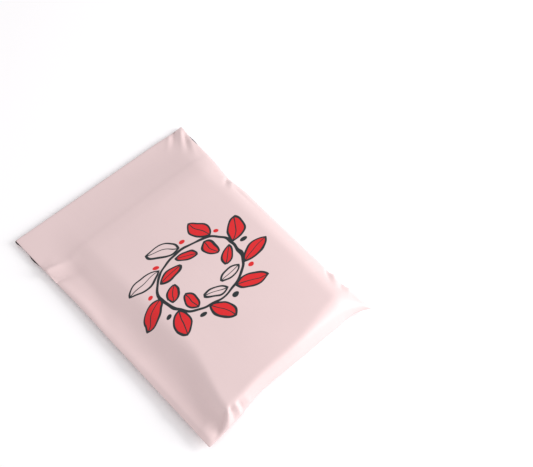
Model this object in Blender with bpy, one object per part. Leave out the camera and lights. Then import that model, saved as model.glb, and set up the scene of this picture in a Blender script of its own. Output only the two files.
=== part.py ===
"""Filled and sealed poly mailer bag, lying on its back panel.

Metres, +Z up. +Y points to the flap fold and +X to the right-hand side seam as the front panel is
read. The origin is under the middle of the bag, on the surface it lies on.
"""

from math import pi, sin

import bmesh
import bpy

# Plan of the filled bag
WIDTH = 0.233  # between the two side seams, at the corners
LENGTH = 0.324  # from the bottom corners to the flap fold
RIGHT_PULL = 0.006  # how far the goods draw the right-hand seam in between the corners
BOTTOM_PULL = 0.010  # how far they draw the bottom fold in between its two ears

# Heights
GOODS_HEIGHT = 0.0285  # over the thick end of the packed goods
FLAP_END_HEIGHT = 0.0075  # over the flap fold, where the bag is almost empty
SEAM_HEIGHT = 0.0095  # of the side seams and the bottom fold, clear of the surface
FLAP_END_LIFT = 0.0035  # of the flap fold's underside
EDGE_THICKNESS = 0.0012  # of the pressed seams, both panels together

# How far in from each edge the front panel starts to climb, and over what run it does
LEFT_FLANGE = 0.022
LEFT_SLOPE = 0.034
RIGHT_FLANGE = 0.001
RIGHT_SLOPE = 0.027
BOTTOM_SLOPE = 0.012
TAPER_START = 0.44  # where the goods start to thin out, as a share of the length
TAPER_LEAN = 0.16  # how much later they do so on the right than on the left
UNDER_RUN = 0.024  # width of the back panel's upturned border

# The flap, folded under and stuck to the back panel
FLAP_LENGTH = 0.044
FLAP_STEP = 0.0006
FLAP_LIFT_RUN = 0.085  # how far before the flap fold the back panel leaves the surface

COLUMNS = 32
ROWS = 44
EDGE_CROWDING = 0.07  # moves the grid lines out, towards the slopes

FILM_PINK = (0.784, 0.604, 0.604, 1.0)
FILM_ROUGHNESS = 0.38


def clear_scene():
    for existing in list(bpy.data.objects):
        bpy.data.objects.remove(existing, do_unlink=True)


def film_material():
    material = bpy.data.materials.new("pink_film")
    material.use_nodes = True
    shader = material.node_tree.nodes["Principled BSDF"]
    shader.inputs["Base Color"].default_value = FILM_PINK
    shader.inputs["Roughness"].default_value = FILM_ROUGHNESS
    shader.inputs["Metallic"].default_value = 0.0
    return material


def ease(distance, start, run):
    """0 up to start, 1 from start + run, with a smooth climb between them."""
    t = min(max((distance - start) / run, 0.0), 1.0)
    return t * t * (3.0 - 2.0 * t)


def blend(low, high, share):
    return low + (high - low) * share


def crowded(share):
    """Grid position from 0 to 1 with the lines closer together at both ends."""
    return share - EDGE_CROWDING * sin(2.0 * pi * share)


def bow(share):
    """0 at both ends of an edge and 1 along its middle, steep close to the corners."""
    return sin(pi * min(max(share, 0.0), 1.0)) ** 0.6


def plan_point(across, along):
    """Plan position of a grid point, with the right-hand seam and the bottom fold drawn in."""
    left = -WIDTH / 2.0
    right = WIDTH / 2.0 - RIGHT_PULL * bow(along)
    bottom = -LENGTH / 2.0 + BOTTOM_PULL * bow(across)
    top = LENGTH / 2.0
    return blend(left, right, across), blend(bottom, top, along)


def edge_distances(across, along):
    """How far a grid point lies in from the left, right, bottom and flap edges."""
    left, _ = plan_point(0.0, along)
    right, _ = plan_point(1.0, along)
    _, bottom = plan_point(across, 0.0)
    _, top = plan_point(across, 1.0)
    x, y = plan_point(across, along)
    return x - left, right - x, y - bottom, top - y


def seam_height(along):
    """Height of the middle of the pressed edge, which sinks towards the flap fold."""
    flap_seam = FLAP_END_LIFT + EDGE_THICKNESS / 2.0
    return blend(SEAM_HEIGHT, flap_seam, ease(along, TAPER_START, 1.0 - TAPER_START))


def front_height(across, along):
    from_left, from_right, from_bottom, from_flap = edge_distances(across, along)
    taper_start = TAPER_START + TAPER_LEAN * (across - 0.5)
    taper = ease(along, taper_start, 1.0 - taper_start)
    goods = blend(GOODS_HEIGHT, FLAP_END_HEIGHT, taper)
    rise = ease(from_left, LEFT_FLANGE, LEFT_SLOPE)
    rise *= ease(from_right, RIGHT_FLANGE, RIGHT_SLOPE)
    rise *= ease(from_bottom, 0.0, BOTTOM_SLOPE)
    rise *= ease(from_flap, 0.0, FLAP_LENGTH)
    return blend(seam_height(along) + EDGE_THICKNESS / 2.0, goods, rise)


def back_height(across, along):
    from_left, from_right, from_bottom, from_flap = edge_distances(across, along)
    border = 1.0 - ease(min(from_left, from_right, from_bottom), 0.0, UNDER_RUN)
    sides = (seam_height(along) - EDGE_THICKNESS / 2.0) * border
    flap_end = FLAP_END_LIFT * (1.0 - ease(from_flap, 0.0, FLAP_LIFT_RUN))
    return max(sides, flap_end)


def add_panel(bm, height):
    """One panel of film as a grid laid over the plan, at the heights that the function gives."""
    panel = bmesh.ops.create_grid(bm, x_segments=COLUMNS, y_segments=ROWS, size=0.5)
    for vert in panel["verts"]:
        across = crowded(vert.co.x + 0.5)
        along = crowded(vert.co.y + 0.5)
        x, y = plan_point(across, along)
        vert.co = (x, y, height(across, along))


def close_edges(bm):
    """Join the panels around the seams and folds, and turn every face outwards."""
    open_edges = [edge for edge in bm.edges if edge.is_boundary]
    bmesh.ops.bridge_loops(bm, edges=open_edges)
    bmesh.ops.recalc_face_normals(bm, faces=bm.faces)


def add_folded_flap(bm):
    """Thicken the underside where the flap is folded back over it."""
    flap_edge = LENGTH / 2.0 - FLAP_LENGTH
    everything = list(bm.verts) + list(bm.edges) + list(bm.faces)
    bmesh.ops.bisect_plane(bm, geom=everything, plane_co=(0.0, flap_edge, 0.0), plane_no=(0.0, 1.0, 0.0))
    under = [f for f in bm.faces if f.normal.z < -0.5 and f.calc_center_median().y > flap_edge]
    thickened = bmesh.ops.extrude_face_region(bm, geom=under)
    moved = [item for item in thickened["geom"] if isinstance(item, bmesh.types.BMVert)]
    bmesh.ops.translate(bm, verts=moved, vec=(0.0, 0.0, -FLAP_STEP))
    bmesh.ops.delete(bm, geom=under, context="FACES_ONLY")


def make_mailer():
    bm = bmesh.new()
    add_panel(bm, front_height)
    add_panel(bm, back_height)
    close_edges(bm)
    add_folded_flap(bm)
    bmesh.ops.recalc_face_normals(bm, faces=bm.faces)
    mesh = bpy.data.meshes.new("mailer_body")
    bm.to_mesh(mesh)
    bm.free()
    mesh.shade_smooth()
    mesh.materials.append(film_material())
    mailer = bpy.data.objects.new("mailer_body", mesh)
    bpy.context.scene.collection.objects.link(mailer)


def main():
    clear_scene()
    make_mailer()


main()
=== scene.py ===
"""Looks of a filled, sealed poly mailer bag: the film pouch, its folded flap, and a plain studio stage."""

from math import cos, pi, radians, sin, tau

import bmesh
import bpy
import numpy as np
from bpy.props import FloatProperty, FloatVectorProperty, IntProperty
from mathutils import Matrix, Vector


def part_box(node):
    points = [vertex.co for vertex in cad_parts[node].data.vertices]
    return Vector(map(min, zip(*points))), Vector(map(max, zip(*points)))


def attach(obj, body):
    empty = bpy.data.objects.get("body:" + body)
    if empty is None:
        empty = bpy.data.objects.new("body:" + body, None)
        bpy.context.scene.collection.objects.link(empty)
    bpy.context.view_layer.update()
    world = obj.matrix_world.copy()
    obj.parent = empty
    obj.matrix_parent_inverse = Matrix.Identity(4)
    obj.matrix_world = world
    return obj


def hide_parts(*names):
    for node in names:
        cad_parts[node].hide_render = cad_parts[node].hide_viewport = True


bl_info = {
    "name": "Poly Mailer Bag",
    "version": (1, 0, 0),
    "blender": (4, 5, 0),
    "location": "3D View > Sidebar > Mailer",
    "description": "Makes a filled poly mailer bag with a stuck-down flap, and a soft studio stage",
    "category": "Add Mesh",
}

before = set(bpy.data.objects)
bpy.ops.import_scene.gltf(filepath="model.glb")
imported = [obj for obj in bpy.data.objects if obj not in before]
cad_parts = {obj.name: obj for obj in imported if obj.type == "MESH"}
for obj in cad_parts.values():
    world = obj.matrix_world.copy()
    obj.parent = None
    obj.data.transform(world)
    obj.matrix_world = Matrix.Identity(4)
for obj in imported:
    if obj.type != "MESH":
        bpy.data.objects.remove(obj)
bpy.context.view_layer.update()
NODE_LOW, NODE_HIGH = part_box("mailer_body")
BAG_WIDTH = NODE_HIGH.x - NODE_LOW.x
BAG_LENGTH = NODE_HIGH.y - NODE_LOW.y
BAG_HEIGHT = NODE_HIGH.z - NODE_LOW.z

# Corners of the filled bag in plan, and how far the goods draw its edges in between them
BOTTOM_LEFT = (-BAG_WIDTH / 2.0 - 0.0008, -BAG_LENGTH / 2.0 - 0.0005)
BOTTOM_RIGHT = (BAG_WIDTH / 2.0 - 0.0035, -BAG_LENGTH / 2.0 + 0.0060)
TOP_LEFT = (-BAG_WIDTH / 2.0 + 0.0033, BAG_LENGTH / 2.0 + 0.0010)
TOP_RIGHT = (BAG_WIDTH / 2.0 + 0.0035, BAG_LENGTH / 2.0 + 0.0015)
LEFT_PULL = 0.0010
RIGHT_PULL = 0.0035
BOTTOM_PULL = 0.0090
SEAM_NICK = 0.0028
SEAM_NICK_PLACE = 0.71
CORNER_LIFT = 0.0045
CORNER_REACH = 0.016

# Rise of the front panel over the goods
LEFT_FLANGE = (0.016, 0.020)
LEFT_SLOPE = (0.020, 0.036)
LEFT_SLOPE_RUN = 0.30
RIGHT_SLOPE = (0.033, 0.027)
BOTTOM_SLOPE = (0.014, 0.028)
FLAP_SLOPE = 0.075
SEAM_HEIGHT = 0.0095
FLAP_SEAM_HEIGHT = 0.0041
SEAM_GAP = 0.0002
FLAP_LIFT = 0.0035
FLAP_LIFT_RUN = 0.085
UNDER_RUN = 0.024
BACK_FLANGE = 0.008
LEFT_THIN_END = 0.0062
RIGHT_THIN_END = 0.0125

# Packed goods that the film settles on: shares of the plan that they fill, and their clearance to it
GOODS_ACROSS = (0.15, 0.97)
GOODS_ALONG = (0.025, 0.82)
GOODS_CLEARANCE = 0.0013
GOODS_CELLS = (44, 60)
FLOOR_DROP = 0.0008

# Where the film is held while it settles: how far in from the edge, and the run over which that fades
HELD_FLAP_END = (0.045, 0.055)
HELD_SEAM = (0.0, 0.006)
LEAST_HOLD = 0.01

# How far from the top right corner the flap end and the seam stay free, and the run after that
FREE_FLAP_CORNER = (0.020, 0.020)
FREE_SEAM_CORNER = (0.0, 0.010)

# Spare film that buckles while the bag settles: place in plan, reach and share of spare length
SPARE_FILM = (
    (0.106, 0.150, 0.020, 0.12),
    (0.108, 0.066, 0.014, 0.08),
    (-0.084, -0.153, 0.016, 0.12),
    (-0.098, 0.108, 0.026, 0.05),
    (-0.108, -0.050, 0.022, 0.04),
    (0.100, -0.128, 0.016, 0.08),
)

# Creases of the front panel: start and end in plan, half width, and height (pressed in where negative)
CREASES = (
    # crumpled corner by the flap fold
    ((0.117, 0.162), (0.090, 0.124), 0.0030, 0.0024),
    ((0.112, 0.167), (0.088, 0.140), 0.0020, -0.0018),
    ((0.102, 0.163), (0.078, 0.138), 0.0030, 0.0013),
    ((0.117, 0.155), (0.096, 0.121), 0.0019, -0.0019),
    ((0.116, 0.145), (0.097, 0.108), 0.0028, 0.0014),
    # nick in the right seam, and the dimple that runs on from it
    ((0.109, 0.072), (0.092, 0.056), 0.0018, -0.0021),
    ((0.109, 0.065), (0.094, 0.048), 0.0020, 0.0015),
    ((0.104, 0.058), (0.103, -0.010), 0.0036, -0.0013),
    # right seam close to the bottom corner
    ((0.107, -0.088), (0.090, -0.114), 0.0019, -0.0018),
    ((0.108, -0.096), (0.092, -0.121), 0.0020, 0.0017),
    ((0.109, -0.109), (0.093, -0.126), 0.0017, -0.0018),
    ((0.109, -0.120), (0.094, -0.135), 0.0021, 0.0013),
    # tucks of the bottom face beside the left ear
    ((-0.081, -0.147), (-0.118, -0.163), 0.0019, -0.0018),
    ((-0.080, -0.147), (-0.098, -0.168), 0.0020, 0.0024),
    ((-0.077, -0.147), (-0.083, -0.171), 0.0017, -0.0024),
    ((-0.073, -0.147), (-0.071, -0.172), 0.0019, 0.0024),
    ((-0.068, -0.148), (-0.060, -0.170), 0.0017, -0.0021),
    ((-0.064, -0.150), (-0.030, -0.160), 0.0022, 0.0014),
    ((0.080, -0.146), (0.106, -0.162), 0.0026, 0.0015),
    # soft folds across the left flange
    ((-0.121, 0.110), (-0.070, 0.098), 0.0046, 0.0038),
    ((-0.121, 0.098), (-0.074, 0.080), 0.0056, -0.0032),
    ((-0.123, -0.034), (-0.088, -0.058), 0.0070, 0.0010),
    ((-0.123, -0.106), (-0.096, -0.130), 0.0056, 0.0012),
)
FRONT_FACING = 0.05

# Folded flap under the back panel
FLAP_TUCK = 0.0014
FLAP_PEEP = 0.0016
LEFT_PEEPS = ((0.003, 0.005), (0.033, 0.007))
RIGHT_PEEPS = ((0.024, 0.011),)
FLAP_THICKNESS = 0.00025
FLAP_CLEARANCE = 0.00035
FLAP_UNDER = (0.014, 0.986)
FLAP_CELLS = (90, 18)

# Roughness of the film's outer and inner face
OUTER_ROUGHNESS = 0.36
INNER_ROUGHNESS = 0.42

# Studio: what the camera looks at, and where the one light and the table are
CAMERA_TARGET = (0.0956, -0.0077, 0.0)
KEY_LIGHT_PLACE = (0.80, -0.76, 0.49)
KEY_LIGHT_SIZE = 0.75
TABLE_DROP = 0.0003


# ---------------------------------------------------------------- sizes and colours a user may change


class MailerFilmSettings(bpy.types.PropertyGroup):
    flat_width: FloatProperty(
        name="Flat width",
        description="Width of the empty bag between its side seams",
        default=0.237,
        unit="LENGTH",
    )
    flat_length: FloatProperty(
        name="Flat length",
        description="Length of the empty bag from the bottom fold to the flap fold",
        default=0.325,
        unit="LENGTH",
    )
    flap_length: FloatProperty(
        name="Flap length",
        description="How far the flap reaches over the back panel",
        default=0.044,
        unit="LENGTH",
    )
    cell: FloatProperty(
        name="Film cell",
        description="Side of one mesh cell of the film before it is subdivided",
        default=0.0034,
        unit="LENGTH",
    )
    settle_frames: IntProperty(
        name="Settling frames",
        description="Steps for which the film settles on the goods",
        default=30,
    )
    colour: FloatVectorProperty(
        name="Film colour",
        description="Colour of the outer film",
        default=(0.73, 0.575, 0.57),
        size=3,
        subtype="COLOR",
        min=0.0,
        max=1.0,
    )
    inner_colour: FloatVectorProperty(
        name="Inner film colour",
        description="Colour of the film's dark inner layer",
        default=(0.012, 0.012, 0.013),
        size=3,
        subtype="COLOR",
        min=0.0,
        max=1.0,
    )


class MailerPrintSettings(bpy.types.PropertyGroup):
    ring_radius: FloatProperty(
        name="Ring radius",
        description="Radius of the printed ring of leaves",
        default=0.038,
        unit="LENGTH",
    )
    red_ink: FloatVectorProperty(
        name="Red ink",
        description="Colour of the leaves",
        default=(0.66, 0.012, 0.016),
        size=3,
        subtype="COLOR",
        min=0.0,
        max=1.0,
    )
    dark_ink: FloatVectorProperty(
        name="Dark ink",
        description="Colour of the stems and outlines",
        default=(0.012, 0.019, 0.022),
        size=3,
        subtype="COLOR",
        min=0.0,
        max=1.0,
    )


class MailerStageSettings(bpy.types.PropertyGroup):
    camera_distance: FloatProperty(
        name="Camera distance",
        description="From the camera to the point it looks at",
        default=1.540,
        unit="LENGTH",
    )
    camera_turn: FloatProperty(
        name="Camera turn",
        description="How far the camera stands round from the bottom fold's side",
        default=radians(-41.84),
        subtype="ANGLE",
    )
    camera_rise: FloatProperty(
        name="Camera elevation",
        description="How steeply the camera looks down",
        default=radians(56.34),
        subtype="ANGLE",
    )
    lens: FloatProperty(
        name="Lens",
        description="Focal length of the camera in millimetres",
        default=96.85,
    )
    key_strength: FloatProperty(
        name="Key light",
        description="Power of the large soft light in watts",
        default=11.9,
    )
    surround: FloatProperty(
        name="Surround",
        description="Strength of the white surround",
        default=0.85,
    )


# ---------------------------------------------------------------- form of the filled bag


def ease(distance, start, run):
    """0 up to start, 1 from start + run, with a smooth climb between them."""
    t = np.clip((distance - start) / run, 0.0, 1.0)
    return t * t * (3.0 - 2.0 * t)


def blend(low, high, share):
    return low + (high - low) * share


def swell(distance, run):
    """0 at the edge and 1 from run inwards, steepest at the edge, as taut film over a full side."""
    return np.sin(pi / 2.0 * np.clip(distance / run, 0.0, 1.0)) ** 0.9


def bump(share, middle, spread):
    """1 at the middle, falling away to both sides."""
    return np.exp(-(((share - middle) / spread) ** 2))


def left_edge(along):
    """Across position of the left seam, almost straight."""
    leaning = blend(BOTTOM_LEFT[0], TOP_LEFT[0], along)
    return leaning + LEFT_PULL * swell(along, 0.5) * swell(1.0 - along, 0.5)


def right_edge(along):
    """Across position of the right seam, drawn in along the goods and once more below the flap."""
    leaning = blend(BOTTOM_RIGHT[0], TOP_RIGHT[0], along)
    pull = RIGHT_PULL * swell(along, 0.20) * swell(1.0 - along, 0.20)
    return leaning - pull - SEAM_NICK * bump(along, SEAM_NICK_PLACE, 0.06)


def bottom_edge(across):
    """Along position of the bottom fold, drawn in between its ears and most towards the right."""
    leaning = blend(BOTTOM_LEFT[1], BOTTOM_RIGHT[1], across)
    pull = blend(0.6 * BOTTOM_PULL, BOTTOM_PULL, across)
    return leaning + pull * ease(across, 0.05, 0.35) * swell(1.0 - across, 0.14)


def top_edge(across):
    return blend(TOP_LEFT[1], TOP_RIGHT[1], across)


def plan_point(across, along):
    """Plan position of a point of the filled bag, from shares of its width and length."""
    x = blend(left_edge(along), right_edge(along), across)
    y = blend(bottom_edge(across), top_edge(across), along)
    return x, y


def edge_distances(across, along):
    """How far a point lies in from the left, right, bottom and flap edges."""
    x, y = plan_point(across, along)
    return x - left_edge(along), right_edge(along) - x, y - bottom_edge(across), top_edge(across) - y


def seam_height(along):
    return blend(SEAM_HEIGHT, FLAP_SEAM_HEIGHT, along)


def goods_height(across, along):
    """The goods thin out evenly towards the flap end, and less so on the right."""
    thin_end = blend(LEFT_THIN_END, RIGHT_THIN_END, ease(across, 0.15, 0.75))
    return blend(BAG_HEIGHT, thin_end, along**1.15)


def corner_lift(across, along):
    """How far the top right corner stands up, where the folded film is stiff."""
    x, y = plan_point(across, along)
    away = ((x - TOP_RIGHT[0]) ** 2 + (y - TOP_RIGHT[1]) ** 2) / CORNER_REACH**2
    return CORNER_LIFT * np.exp(-away)


def front_height(across, along):
    left, right, bottom, flap = edge_distances(across, along)
    upwards = ease(along, 0.0, LEFT_SLOPE_RUN)
    left_rise = ease(left, blend(*LEFT_FLANGE, upwards), blend(*LEFT_SLOPE, upwards))
    right_rise = swell(right, blend(*RIGHT_SLOPE, upwards))
    bottom_rise = swell(bottom, blend(*BOTTOM_SLOPE, ease(across, 0.55, 0.45)))
    rise = np.minimum(left_rise, bottom_rise) * right_rise * ease(flap, 0.0, FLAP_SLOPE)
    height = blend(seam_height(along) + SEAM_GAP, goods_height(across, along), rise)
    return height + corner_lift(across, along)


def back_height(across, along):
    left, right, bottom, flap = edge_distances(across, along)
    inward = np.minimum(np.minimum(left - BACK_FLANGE, right), bottom)
    sides = (seam_height(along) - SEAM_GAP) * (1.0 - ease(inward, 0.0, UNDER_RUN))
    height = np.maximum(sides, FLAP_LIFT * (1.0 - ease(flap, 0.0, FLAP_LIFT_RUN)))
    return height + corner_lift(across, along)


def film_share(height, share, along):
    """Where shares of a row's film length fall across the filled bag, measured along its surface."""
    fine = np.linspace(0.0, 1.0, 301)
    x, _ = plan_point(fine, along)
    z = height(fine, along)
    length = np.concatenate([[0.0], np.cumsum(np.hypot(np.diff(x), np.diff(z)))])
    return np.interp(share * length[-1], length, fine)


# ---------------------------------------------------------------- meshes


def face_outwards(bm):
    """Turn a closed shell's faces consistently to its outside."""
    bmesh.ops.recalc_face_normals(bm, faces=bm.faces)
    if bm.calc_volume(signed=True) < 0.0:
        bmesh.ops.reverse_faces(bm, faces=bm.faces)
    bm.normal_update()


def new_object(name, bm, materials):
    mesh = bpy.data.meshes.new(name)
    bm.to_mesh(mesh)
    bm.free()
    mesh.shade_smooth()
    for material in materials:
        mesh.materials.append(material)
    made = bpy.data.objects.new(name, mesh)
    bpy.context.scene.collection.objects.link(made)
    return made


def add_panel(bm, flat, height, film, side):
    """One panel of film on the filled bag's form, which also remembers where it lay when flat."""
    columns = round(film.flat_width / film.cell)
    rows = round(film.flat_length / film.cell)
    grid = bmesh.ops.create_grid(bm, x_segments=columns, y_segments=rows, size=0.5)["verts"]
    by_row = {}
    for vert in grid:
        by_row.setdefault(round((vert.co.y + 0.5) * rows), []).append(vert)
    for row, verts in by_row.items():
        along = row / rows
        share = np.array([vert.co.x + 0.5 for vert in verts])
        across = film_share(height, share, along)
        x, y = plan_point(across, along)
        z = height(across, along)
        for i, vert in enumerate(verts):
            vert[flat] = (
                (share[i] - 0.5) * film.flat_width,
                (along - 0.5) * film.flat_length,
                side * SEAM_GAP / 2.0,
            )
            vert.co = (x[i], y[i], z[i])


def weld_rims(bm, flat):
    """Join the two panels into one closed skin around the seams and folds."""
    rims = {}
    for vert in bm.verts:
        if vert.is_boundary:
            place = (round(vert[flat].x, 5), round(vert[flat].y, 5))
            rims.setdefault(place, []).append(vert)
    targets = {}
    for upper, lower in rims.values():
        upper.co = (upper.co + lower.co) / 2.0
        upper[flat] = (upper[flat].x, upper[flat].y, 0.0)
        targets[lower] = upper
    bmesh.ops.weld_verts(bm, targetmap=targets)
    face_outwards(bm)


def write_film_uv(bm, flat):
    """The film's UV map is its flat cut in metres, measured from its centre."""
    uv = bm.loops.layers.uv.new("FilmUV")
    for face in bm.faces:
        for loop in face.loops:
            loop[uv].uv = (loop.vert[flat].x, loop.vert[flat].y)


def make_pouch_mesh(film, materials):
    bm = bmesh.new()
    flat = bm.verts.layers.float_vector.new("flat")
    add_panel(bm, flat, front_height, film, 1.0)
    add_panel(bm, flat, back_height, film, -1.0)
    weld_rims(bm, flat)
    write_film_uv(bm, flat)
    return new_object("film_pouch", bm, materials)


def make_goods():
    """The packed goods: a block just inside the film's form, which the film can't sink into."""
    bm = bmesh.new()
    for height, clearance in ((front_height, -GOODS_CLEARANCE), (back_height, GOODS_CLEARANCE)):
        grid = bmesh.ops.create_grid(bm, x_segments=GOODS_CELLS[0], y_segments=GOODS_CELLS[1], size=0.5)
        for vert in grid["verts"]:
            across = blend(*GOODS_ACROSS, vert.co.x + 0.5)
            along = blend(*GOODS_ALONG, vert.co.y + 0.5)
            x, y = plan_point(across, along)
            vert.co = (x, y, height(across, along) + clearance)
    bmesh.ops.bridge_loops(bm, edges=[edge for edge in bm.edges if edge.is_boundary])
    face_outwards(bm)
    goods = new_object("packed_goods", bm, [])
    goods.modifiers.new("Collision", "COLLISION")
    goods.collision.thickness_outer = 0.0006
    goods.collision.thickness_inner = 0.004
    goods.collision.cloth_friction = 2.0
    goods.collision.damping = 0.3
    return goods


def make_rest_plane():
    bm = bmesh.new()
    bmesh.ops.create_grid(bm, x_segments=2, y_segments=2, size=0.4)
    bmesh.ops.translate(bm, verts=bm.verts, vec=(0.0, 0.0, -FLOOR_DROP))
    plane = new_object("rest_plane", bm, [])
    plane.modifiers.new("Collision", "COLLISION")
    plane.collision.thickness_outer = FLOOR_DROP
    plane.collision.cloth_friction = 5.0
    return plane


def with_spare_film(places):
    """The rest shape of the film, a little larger than its form round each place with spare film."""
    rest = places.copy()
    for x, y, reach, share in SPARE_FILM:
        away = places - np.array([x, y, 0.0])
        away[:, 2] = 0.0
        near = np.exp(-((away**2).sum(axis=1) / reach**2))
        rest += away * (share * near)[:, None]
    return rest


def hold_edges(pouch):
    """Hold the stuck-down flap end and the left seam, and leave the rest of the film free to move."""
    held = pouch.vertex_groups.new(name="held")
    for vert in pouch.data.vertices:
        from_fold = BAG_LENGTH / 2.0 - vert.co.y
        from_corner = (vert.co.xy - Vector(TOP_RIGHT)).length
        from_left = vert.co.x - left_edge(0.5)
        flap = (1.0 - ease(from_fold, *HELD_FLAP_END)) * ease(from_corner, *FREE_FLAP_CORNER)
        seam = (1.0 - ease(from_left, *HELD_SEAM)) * ease(from_corner, *FREE_SEAM_CORNER)
        weight = float(max(flap, seam))
        if weight > LEAST_HOLD:
            held.add([vert.index], weight, "REPLACE")
    return held.name


def add_film_cloth(pouch, film):
    """Stiff thin film that keeps its form, apart from the places with spare film."""
    pouch.shape_key_add(name="Form")
    key = pouch.shape_key_add(name="Rest")
    places = np.empty(len(pouch.data.vertices) * 3, np.float32)
    pouch.data.vertices.foreach_get("co", places)
    rest = with_spare_film(places.reshape(-1, 3))
    key.data.foreach_set("co", rest.astype(np.float32).ravel())
    cloth = pouch.modifiers.new("Film", "CLOTH")
    settings = cloth.settings
    settings.rest_shape_key = key
    settings.vertex_group_mass = hold_edges(pouch)
    settings.quality = 8
    settings.mass = 0.3
    settings.tension_stiffness = 60.0
    settings.compression_stiffness = 60.0
    settings.shear_stiffness = 24.0
    settings.bending_stiffness = 60.0
    settings.tension_damping = 8.0
    settings.compression_damping = 8.0
    settings.shear_damping = 8.0
    settings.air_damping = 2.0
    cloth.collision_settings.distance_min = 0.0008
    cloth.collision_settings.collision_quality = 3
    cloth.collision_settings.use_self_collision = True
    cloth.collision_settings.self_distance_min = 0.0006
    cloth.point_cache.frame_start = 1
    cloth.point_cache.frame_end = film.settle_frames
    return cloth


def settle_film(pouch, film):
    """Let the film settle on the goods under gravity, and keep the shape it ends in."""
    goods = make_goods()
    plane = make_rest_plane()
    cloth = add_film_cloth(pouch, film)
    scene = bpy.context.scene
    for step in range(1, film.settle_frames + 1):
        scene.frame_set(step)
    settled = pouch.evaluated_get(bpy.context.evaluated_depsgraph_get()).to_mesh()
    places = np.empty(len(settled.vertices) * 3, np.float32)
    settled.vertices.foreach_get("co", places)
    pouch.modifiers.remove(cloth)
    pouch.shape_key_clear()
    pouch.data.vertices.foreach_set("co", places)
    pouch.data.update()
    bpy.data.objects.remove(goods, do_unlink=True)
    bpy.data.objects.remove(plane, do_unlink=True)
    scene.frame_set(1)


def refine(pouch):
    """Halve the film's cells once, smoothly, and keep the finer mesh."""
    modifier = pouch.modifiers.new("Finer film", "SUBSURF")
    modifier.levels = 1
    modifier.render_levels = 1
    finer = bpy.data.meshes.new_from_object(pouch.evaluated_get(bpy.context.evaluated_depsgraph_get()))
    pouch.modifiers.remove(modifier)
    pouch.vertex_groups.clear()
    coarse = pouch.data
    pouch.data = finer
    bpy.data.meshes.remove(coarse)
    finer.name = "film_pouch"


def crease(places, normals, start, end, half_width, height):
    """Move the front panel along a straight crease that starts sharp and fans out as it fades."""
    axis = np.subtract(end, start)
    away = places[:, :2] - np.array(start)
    share = np.clip(away @ axis / (axis @ axis), 0.0, 1.0)
    distance = np.linalg.norm(away - share[:, None] * axis, axis=1)
    profile = 1.0 / (1.0 + (distance / (half_width * (0.7 + share))) ** 2) ** 1.5
    fade = ease(share, 0.0, 0.2) * ease(1.0 - share, 0.0, 0.9)
    facing = ease(normals[:, 2], FRONT_FACING, 0.3)
    return normals * (height * profile * fade * facing)[:, None]


def press_creases(pouch):
    count = len(pouch.data.vertices)
    places = np.empty(count * 3, np.float32)
    normals = np.empty(count * 3, np.float32)
    pouch.data.vertices.foreach_get("co", places)
    pouch.data.vertices.foreach_get("normal", normals)
    places, normals = places.reshape(-1, 3), normals.reshape(-1, 3)
    moved = places + sum(crease(places, normals, *line) for line in CREASES)
    pouch.data.vertices.foreach_set("co", moved.astype(np.float32).ravel())
    pouch.data.update()


def flatten_underside(pouch):
    """Nothing reaches below the surface that the bag lies on."""
    for vert in pouch.data.vertices:
        vert.co.z = max(vert.co.z, 0.0)


def flap_reach(from_fold, peeps):
    """How far the flap's side edge shows beyond the bag's, tucked in apart from a few places."""
    return FLAP_PEEP * max(bump(from_fold, *peep) for peep in peeps) - FLAP_TUCK


def make_flap_mesh(pouch, flap_length, materials):
    """The flap as a thin sheet under the back panel, dark on its inner face, which shows at its side edges."""
    bm = bmesh.new()
    flat = bm.verts.layers.float_vector.new("flat")
    grid = bmesh.ops.create_grid(bm, x_segments=FLAP_CELLS[0], y_segments=FLAP_CELLS[1], size=0.5)
    for vert in grid["verts"]:
        share = vert.co.x + 0.5
        along = 1.0 - flap_length / BAG_LENGTH * (0.5 - vert.co.y)
        vert[flat] = ((share - 0.5) * BAG_WIDTH, (along - 0.5) * BAG_LENGTH, 0.0)
        from_fold = (1.0 - along) * BAG_LENGTH
        low = -flap_reach(from_fold, LEFT_PEEPS) / BAG_WIDTH
        high = 1.0 + flap_reach(from_fold, RIGHT_PEEPS) / BAG_WIDTH
        x, y = plan_point(blend(low, high, share), along - FLAP_TUCK / BAG_LENGTH)
        above_x, above_y = plan_point(np.clip(share, *FLAP_UNDER), min(along, FLAP_UNDER[1]))
        hit, place, _, _ = pouch.ray_cast(Vector((above_x, above_y, -0.01)), Vector((0.0, 0.0, 1.0)))
        if not hit:
            raise RuntimeError("the flap has no back panel above it")
        vert.co = (x, y, place.z - FLAP_CLEARANCE)
    write_film_uv(bm, flat)
    bmesh.ops.recalc_face_normals(bm, faces=bm.faces)
    bmesh.ops.solidify(bm, geom=bm.faces[:], thickness=FLAP_THICKNESS)
    face_outwards(bm)
    for face in bm.faces:
        face.material_index = 1 if face.normal.z > 0.5 else 0
    return new_object("folded_flap", bm, materials)


# ---------------------------------------------------------------- node groups


def new_group(name, inputs, outputs):
    """A shader node group; inputs and outputs are (name, socket type, default or None)."""
    group = bpy.data.node_groups.new(name, "ShaderNodeTree")
    for label, kind, default in inputs:
        socket = group.interface.new_socket(label, in_out="INPUT", socket_type=kind)
        if default is not None:
            socket.default_value = default
    for label, kind in outputs:
        group.interface.new_socket(label, in_out="OUTPUT", socket_type=kind)
    start = group.nodes.new("NodeGroupInput")
    end = group.nodes.new("NodeGroupOutput")
    return group, start, end


def math_node(tree, operation, *values):
    """A Math node; each value is a number or a socket. Returns its output socket."""
    node = tree.nodes.new("ShaderNodeMath")
    node.operation = operation
    for i, value in enumerate(values):
        if isinstance(value, (int, float)):
            node.inputs[i].default_value = value
        else:
            tree.links.new(value, node.inputs[i])
    return node.outputs[0]


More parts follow.
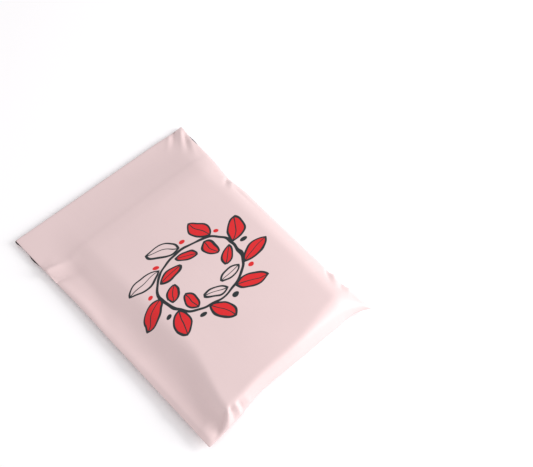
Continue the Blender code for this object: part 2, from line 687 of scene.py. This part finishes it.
def vector_math(tree, operation, first, second):
    node = tree.nodes.new("ShaderNodeVectorMath")
    node.operation = operation
    tree.links.new(first, node.inputs[0])
    if isinstance(second, (tuple, list)):
        node.inputs[1].default_value = second
    elif second is not None:
        tree.links.new(second, node.inputs[1])
    return node


def noise(tree, vector, scale, detail, roughness=0.5):
    node = tree.nodes.new("ShaderNodeTexNoise")
    node.inputs["Scale"].default_value = scale
    node.inputs["Detail"].default_value = detail
    node.inputs["Roughness"].default_value = roughness
    tree.links.new(vector, node.inputs["Vector"])
    return node.outputs["Fac"]


def map_range(tree, value, low, high, out_low=0.0, out_high=1.0, smooth=True):
    node = tree.nodes.new("ShaderNodeMapRange")
    node.interpolation_type = "SMOOTHSTEP" if smooth else "LINEAR"
    tree.links.new(value, node.inputs["Value"])
    node.inputs["From Min"].default_value = low
    node.inputs["From Max"].default_value = high
    node.inputs["To Min"].default_value = out_low
    node.inputs["To Max"].default_value = out_high
    return node.outputs["Result"]


def film_haze_group():
    """Slow clouds and fine specks over the film: a shade for its colour and a value for its roughness."""
    group, start, end = new_group(
        "film_haze",
        [("Vector", "NodeSocketVector", None), ("Base Roughness", "NodeSocketFloat", 0.36)],
        [("Shade", "NodeSocketFloat"), ("Roughness", "NodeSocketFloat")],
    )
    vector = start.outputs["Vector"]
    clouds = noise(group, vector, 14.0, 2.0)
    streaks = vector_math(group, "MULTIPLY", vector, (420.0, 16.0, 16.0)).outputs["Vector"]
    lines = noise(group, streaks, 1.0, 2.0)
    specks = noise(group, vector, 900.0, 2.0)
    shade = math_node(group, "MULTIPLY_ADD", clouds, 0.035, 0.975)
    shade = math_node(group, "MULTIPLY_ADD", lines, 0.012, shade)
    group.links.new(shade, end.inputs["Shade"])
    rough = math_node(group, "MULTIPLY_ADD", clouds, 0.10, -0.05)
    rough = math_node(group, "MULTIPLY_ADD", specks, 0.06, rough)
    rough = math_node(group, "ADD", rough, start.outputs["Base Roughness"])
    group.links.new(rough, end.inputs["Roughness"])
    return group


def film_relief_group():
    """Height of the film's fine relief: draw lines, soft orange peel, and puckers close to the side seams."""
    group, start, end = new_group(
        "film_relief",
        [("Vector", "NodeSocketVector", None), ("Half Width", "NodeSocketFloat", 0.127)],
        [("Height", "NodeSocketFloat")],
    )
    vector = start.outputs["Vector"]
    split = group.nodes.new("ShaderNodeSeparateXYZ")
    group.links.new(vector, split.inputs["Vector"])
    peel = noise(group, vector, 240.0, 2.0)
    streaks = vector_math(group, "MULTIPLY", vector, (260.0, 7.0, 7.0)).outputs["Vector"]
    lines = noise(group, streaks, 1.0, 1.0)
    pucker_space = vector_math(group, "MULTIPLY", vector, (30.0, 150.0, 30.0)).outputs["Vector"]
    puckers = noise(group, pucker_space, 1.0, 2.0)
    side = math_node(group, "ABSOLUTE", split.outputs["X"])
    inward = math_node(group, "SUBTRACT", start.outputs["Half Width"], side)
    near = map_range(group, inward, 0.001, 0.016, 1.0, 0.0)
    height = math_node(group, "MULTIPLY", peel, 0.06)
    height = math_node(group, "MULTIPLY_ADD", lines, 0.10, height)
    height = math_node(group, "MULTIPLY_ADD", math_node(group, "MULTIPLY", puckers, near), 0.8, height)
    group.links.new(height, end.inputs["Height"])
    return group


def leaf_ring_group():
    """Distance in millimetres to the nearest leaf of a ring of leaves, and a number that differs by leaf."""
    group, start, end = new_group(
        "leaf_ring",
        [
            ("Vector", "NodeSocketVector", None),
            ("Leaves", "NodeSocketFloat", 9.0),
            ("Turn", "NodeSocketFloat", 0.0),
            ("Ring Radius", "NodeSocketFloat", 46.0),
            ("Tilt", "NodeSocketFloat", 0.6),
            ("Half Length", "NodeSocketFloat", 13.0),
            ("Half Width", "NodeSocketFloat", 6.0),
        ],
        [("Distance", "NodeSocketFloat"), ("Leaf", "NodeSocketFloat"), ("Across", "NodeSocketFloat")],
    )
    split = group.nodes.new("ShaderNodeSeparateXYZ")
    group.links.new(start.outputs["Vector"], split.inputs["Vector"])
    angle = math_node(group, "ARCTAN2", split.outputs["Y"], split.outputs["X"])
    angle = math_node(group, "SUBTRACT", angle, start.outputs["Turn"])
    sector = math_node(group, "DIVIDE", tau, start.outputs["Leaves"])
    index = math_node(group, "FLOOR", math_node(group, "DIVIDE", angle, sector))
    middle = math_node(group, "MULTIPLY", math_node(group, "ADD", index, 0.5), sector)
    middle = math_node(group, "ADD", middle, start.outputs["Turn"])
    to_leaf = group.nodes.new("ShaderNodeVectorRotate")
    to_leaf.rotation_type = "Z_AXIS"
    group.links.new(start.outputs["Vector"], to_leaf.inputs["Vector"])
    group.links.new(math_node(group, "MULTIPLY", middle, -1.0), to_leaf.inputs["Angle"])
    centre = group.nodes.new("ShaderNodeCombineXYZ")
    group.links.new(start.outputs["Ring Radius"], centre.inputs["X"])
    local = vector_math(group, "SUBTRACT", to_leaf.outputs["Vector"], centre.outputs["Vector"])
    chance = group.nodes.new("ShaderNodeTexWhiteNoise")
    chance.noise_dimensions = "1D"
    group.links.new(math_node(group, "ADD", index, start.outputs["Ring Radius"]), chance.inputs["W"])
    tilt = math_node(group, "MULTIPLY_ADD", chance.outputs["Value"], 0.35, start.outputs["Tilt"])
    turned = group.nodes.new("ShaderNodeVectorRotate")
    turned.rotation_type = "Z_AXIS"
    group.links.new(local.outputs["Vector"], turned.inputs["Vector"])
    group.links.new(math_node(group, "MULTIPLY", tilt, -1.0), turned.inputs["Angle"])
    leaf = group.nodes.new("ShaderNodeSeparateXYZ")
    group.links.new(turned.outputs["Vector"], leaf.inputs["Vector"])
    half_length = start.outputs["Half Length"]
    half_width = start.outputs["Half Width"]
    squares = math_node(group, "POWER", half_length, 2.0)
    squares = math_node(group, "ADD", squares, math_node(group, "POWER", half_width, 2.0))
    radius = math_node(group, "DIVIDE", squares, math_node(group, "MULTIPLY", half_width, 2.0))
    offset = math_node(group, "SUBTRACT", radius, half_width)
    side = math_node(group, "ADD", math_node(group, "ABSOLUTE", leaf.outputs["Y"]), offset)
    reach = math_node(group, "POWER", side, 2.0)
    reach = math_node(group, "ADD", reach, math_node(group, "POWER", leaf.outputs["X"], 2.0))
    distance = math_node(group, "SUBTRACT", math_node(group, "SQRT", reach), radius)
    group.links.new(distance, end.inputs["Distance"])
    group.links.new(chance.outputs["Value"], end.inputs["Leaf"])
    group.links.new(leaf.outputs["Y"], end.inputs["Across"])
    return group


def place_group(tree, group, **values):
    node = tree.nodes.new("ShaderNodeGroup")
    node.node_tree = group
    for label, value in values.items():
        socket = node.inputs[label.replace("_", " ")]
        if isinstance(value, (int, float)):
            socket.default_value = value
        else:
            tree.links.new(value, socket)
    return node


def wreath_print_group(ring_radius_mm):
    """Masks of the red and the dark ink of a hand-drawn ring of leaves and berries."""
    group, start, end = new_group(
        "wreath_print",
        [("Vector", "NodeSocketVector", None)],
        [("Red", "NodeSocketFloat"), ("Dark", "NodeSocketFloat")],
    )
    millimetres = vector_math(group, "MULTIPLY", start.outputs["Vector"], (1000.0,) * 3).outputs["Vector"]
    centred = vector_math(group, "SUBTRACT", millimetres, (2.0, -16.0, 0.0)).outputs["Vector"]
    centred = vector_math(group, "MULTIPLY", centred, (0.74, 0.98, 1.0)).outputs["Vector"]
    wobble = group.nodes.new("ShaderNodeTexNoise")
    wobble.inputs["Scale"].default_value = 0.045
    wobble.inputs["Detail"].default_value = 1.0
    group.links.new(centred, wobble.inputs["Vector"])
    shift = vector_math(group, "SUBTRACT", wobble.outputs["Color"], (0.5, 0.5, 0.5)).outputs["Vector"]
    shift = vector_math(group, "MULTIPLY", shift, (9.0, 9.0, 0.0)).outputs["Vector"]
    drawn = vector_math(group, "ADD", centred, shift).outputs["Vector"]
    reach = vector_math(group, "LENGTH", drawn, None).outputs["Value"]
    from_ring = math_node(group, "ABSOLUTE", math_node(group, "SUBTRACT", reach, ring_radius_mm))
    dark = map_range(group, from_ring, 1.15, 1.45, 1.0, 0.0)
    red = None
    leaf_ring = leaf_ring_group()
    rings = (
        (9.0, 0.0, ring_radius_mm + 12.5, 0.45, 14.5, 7.4),
        (8.0, 0.3, ring_radius_mm - 10.5, -2.35, 10.5, 5.4),
    )
    for leaves, turn, radius, tilt, half_length, half_width in rings:
        ring = place_group(
            group, leaf_ring, Vector=drawn, Leaves=leaves, Turn=turn, Ring_Radius=radius,
            Tilt=tilt, Half_Length=half_length, Half_Width=half_width,
        )
        distance = ring.outputs["Distance"]
        fill = map_range(group, distance, -0.6, -0.2, 1.0, 0.0)
        outline = map_range(group, math_node(group, "ABSOLUTE", distance), 0.85, 1.1, 1.0, 0.0)
        vein = map_range(group, math_node(group, "ABSOLUTE", ring.outputs["Across"]), 0.35, 0.6, 1.0, 0.0)
        vein = math_node(group, "MULTIPLY", vein, fill)
        dark = math_node(group, "MAXIMUM", dark, math_node(group, "MAXIMUM", outline, vein))
        filled = math_node(group, "LESS_THAN", ring.outputs["Leaf"], 0.72)
        fill = math_node(group, "MULTIPLY", fill, filled)
        red = fill if red is None else math_node(group, "MAXIMUM", red, fill)
    berries = place_group(
        group, leaf_ring, Vector=drawn, Leaves=9.0, Turn=0.36, Ring_Radius=ring_radius_mm + 7.5,
        Tilt=0.0, Half_Length=2.7, Half_Width=2.6,
    )
    berry = map_range(group, berries.outputs["Distance"], -0.2, 0.2, 1.0, 0.0)
    dark_berry = math_node(group, "GREATER_THAN", berries.outputs["Leaf"], 0.5)
    dark = math_node(group, "MAXIMUM", dark, math_node(group, "MULTIPLY", berry, dark_berry))
    red_berry = math_node(group, "SUBTRACT", 1.0, dark_berry)
    red = math_node(group, "MAXIMUM", red, math_node(group, "MULTIPLY", berry, red_berry))
    group.links.new(red, end.inputs["Red"])
    group.links.new(dark, end.inputs["Dark"])
    return group


# ---------------------------------------------------------------- materials


def mix_colour(tree, share, first, second):
    node = tree.nodes.new("ShaderNodeMix")
    node.data_type = "RGBA"
    tree.links.new(share, node.inputs["Factor"])
    for socket, value in ((node.inputs["A"], first), (node.inputs["B"], second)):
        if isinstance(value, tuple):
            socket.default_value = value
        else:
            tree.links.new(value, socket)
    return node.outputs["Result"]


def colour_of(setting):
    return (*setting, 1.0)


def shaded(colour, share):
    return tuple(channel * share for channel in colour[:3]) + (1.0,)


def film_material(name, colour, haze, relief, half_width, roughness, print_group=None, inks=None):
    """Satin film: hazy colour and gloss, fine relief, and ink over it where there is a print."""
    material = bpy.data.materials.new(name)
    material.use_nodes = True
    tree = material.node_tree
    shader = tree.nodes["Principled BSDF"]
    shader.inputs["Metallic"].default_value = 0.0
    shader.inputs["IOR"].default_value = 1.51
    shader.inputs["Specular IOR Level"].default_value = 0.32
    uv = tree.nodes.new("ShaderNodeUVMap")
    uv.uv_map = "FilmUV"
    haze_node = place_group(tree, haze, Vector=uv.outputs["UV"], Base_Roughness=roughness)
    light, dark = shaded(colour, 1.03), shaded(colour, 0.90)
    shade = map_range(tree, haze_node.outputs["Shade"], 0.96, 1.03, 0.0, 1.0, smooth=False)
    result = mix_colour(tree, shade, dark, light)
    if print_group is not None:
        ink = place_group(tree, print_group, Vector=uv.outputs["UV"])
        geometry = tree.nodes.new("ShaderNodeAttribute")
        geometry.attribute_name = "front"
        red = math_node(tree, "MULTIPLY", ink.outputs["Red"], geometry.outputs["Fac"])
        black = math_node(tree, "MULTIPLY", ink.outputs["Dark"], geometry.outputs["Fac"])
        result = mix_colour(tree, red, result, inks[0])
        result = mix_colour(tree, black, result, inks[1])
    tree.links.new(result, shader.inputs["Base Color"])
    tree.links.new(haze_node.outputs["Roughness"], shader.inputs["Roughness"])
    relief_node = place_group(tree, relief, Vector=uv.outputs["UV"], Half_Width=half_width)
    bump = tree.nodes.new("ShaderNodeBump")
    bump.inputs["Distance"].default_value = 0.0006
    bump.inputs["Strength"].default_value = 0.35
    tree.links.new(relief_node.outputs["Height"], bump.inputs["Height"])
    tree.links.new(bump.outputs["Normal"], shader.inputs["Normal"])
    return material


# ---------------------------------------------------------------- stage


def studio_floor():
    bm = bmesh.new()
    bmesh.ops.create_grid(bm, x_segments=1, y_segments=1, size=3.0)
    material = bpy.data.materials.new("white_table")
    material.use_nodes = True
    shader = material.node_tree.nodes["Principled BSDF"]
    shader.inputs["Base Color"].default_value = (0.97, 0.968, 0.972, 1.0)
    shader.inputs["Roughness"].default_value = 0.85
    shader.inputs["Specular IOR Level"].default_value = 0.1
    table = new_object("white_table", bm, [material])
    table.location.z = -TABLE_DROP


def aim(item, target):
    item.rotation_euler = (target - item.location).to_track_quat("-Z", "Y").to_euler()


def soft_light(name, place, size, power):
    light = bpy.data.lights.new(name, "AREA")
    light.shape = "DISK"
    light.size = size
    light.energy = power
    lamp = bpy.data.objects.new(name, light)
    bpy.context.scene.collection.objects.link(lamp)
    lamp.location = place
    aim(lamp, Vector((0.0, 0.0, 0.0)))


def surround(strength):
    world = bpy.data.worlds.new("white_surround")
    bpy.context.scene.world = world
    world.use_nodes = True
    background = world.node_tree.nodes["Background"]
    background.inputs["Color"].default_value = (1.0, 0.978, 0.993, 1.0)
    background.inputs["Strength"].default_value = strength


def studio_camera(settings):
    camera = bpy.data.cameras.new("camera")
    camera.lens = settings.lens
    camera.sensor_width = 36.0
    stand = bpy.data.objects.new("camera", camera)
    bpy.context.scene.collection.objects.link(stand)
    turn, rise = settings.camera_turn, settings.camera_rise
    back = Vector((sin(turn) * cos(rise), -cos(turn) * cos(rise), sin(rise)))
    target = Vector(CAMERA_TARGET)
    stand.location = target + back * settings.camera_distance
    aim(stand, target)
    bpy.context.scene.camera = stand


# ---------------------------------------------------------------- operators


class MAILER_OT_film_pouch(bpy.types.Operator):
    """Make the film pouch, settled on its goods, with its print"""

    bl_idname = "mailer.film_pouch"
    bl_label = "Film Pouch"

    def execute(self, context):
        film = context.scene.mailer_film
        ink = context.scene.mailer_print
        haze = film_haze_group()
        relief = film_relief_group()
        wreath = wreath_print_group(ink.ring_radius * 1000.0)
        material = film_material(
            "printed_film", colour_of(film.colour), haze, relief, film.flat_width / 2.0, OUTER_ROUGHNESS,
            wreath, (colour_of(ink.red_ink), colour_of(ink.dark_ink)),
        )
        pouch = make_pouch_mesh(film, [material])
        front = pouch.data.attributes.new("front", "FLOAT", "POINT")
        flat = pouch.data.attributes["flat"].data
        for i in range(len(pouch.data.vertices)):
            front.data[i].value = 1.0 if flat[i].vector.z > 0.0 else 0.0
        settle_film(pouch, film)
        refine(pouch)
        press_creases(pouch)
        flatten_underside(pouch)
        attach(pouch, "root")
        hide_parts("mailer_body")
        return {"FINISHED"}


class MAILER_OT_folded_flap(bpy.types.Operator):
    """Make the flap, folded under and stuck to the back panel"""

    bl_idname = "mailer.folded_flap"
    bl_label = "Folded Flap"

    def execute(self, context):
        film = context.scene.mailer_film
        haze = bpy.data.node_groups["film_haze"]
        relief = bpy.data.node_groups["film_relief"]
        reach = film.flat_width / 2.0
        outer = film_material("plain_film", colour_of(film.colour), haze, relief, reach, OUTER_ROUGHNESS)
        inner = film_material("inner_film", colour_of(film.inner_colour), haze, relief, reach, INNER_ROUGHNESS)
        context.view_layer.update()
        flap = make_flap_mesh(bpy.data.objects["film_pouch"], film.flap_length, [outer, inner])
        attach(flap, "root")
        return {"FINISHED"}


class MAILER_OT_stage(bpy.types.Operator):
    """Make the white table, the soft light and the camera"""

    bl_idname = "mailer.stage"
    bl_label = "Studio Stage"

    def execute(self, context):
        settings = context.scene.mailer_stage
        studio_floor()
        soft_light("key_light", KEY_LIGHT_PLACE, KEY_LIGHT_SIZE, settings.key_strength)
        surround(settings.surround)
        studio_camera(settings)
        context.scene.view_settings.view_transform = "Standard"
        return {"FINISHED"}


class MAILER_PT_panel(bpy.types.Panel):
    bl_label = "Poly Mailer Bag"
    bl_space_type = "VIEW_3D"
    bl_region_type = "UI"
    bl_category = "Mailer"

    def draw(self, context):
        for operator in OPERATORS:
            self.layout.operator(operator.bl_idname)


SETTINGS = (MailerFilmSettings, MailerPrintSettings, MailerStageSettings)
OPERATORS = (MAILER_OT_film_pouch, MAILER_OT_folded_flap, MAILER_OT_stage)


def register():
    for item in (*SETTINGS, *OPERATORS, MAILER_PT_panel):
        bpy.utils.register_class(item)
    bpy.types.Scene.mailer_film = bpy.props.PointerProperty(type=MailerFilmSettings)
    bpy.types.Scene.mailer_print = bpy.props.PointerProperty(type=MailerPrintSettings)
    bpy.types.Scene.mailer_stage = bpy.props.PointerProperty(type=MailerStageSettings)


def unregister():
    del bpy.types.Scene.mailer_film
    del bpy.types.Scene.mailer_print
    del bpy.types.Scene.mailer_stage
    for item in reversed((*SETTINGS, *OPERATORS, MAILER_PT_panel)):
        bpy.utils.unregister_class(item)


def main():
    register()
    bpy.ops.mailer.film_pouch()
    bpy.ops.mailer.folded_flap()
    bpy.ops.mailer.stage()


if __name__ == "__main__":
    main()
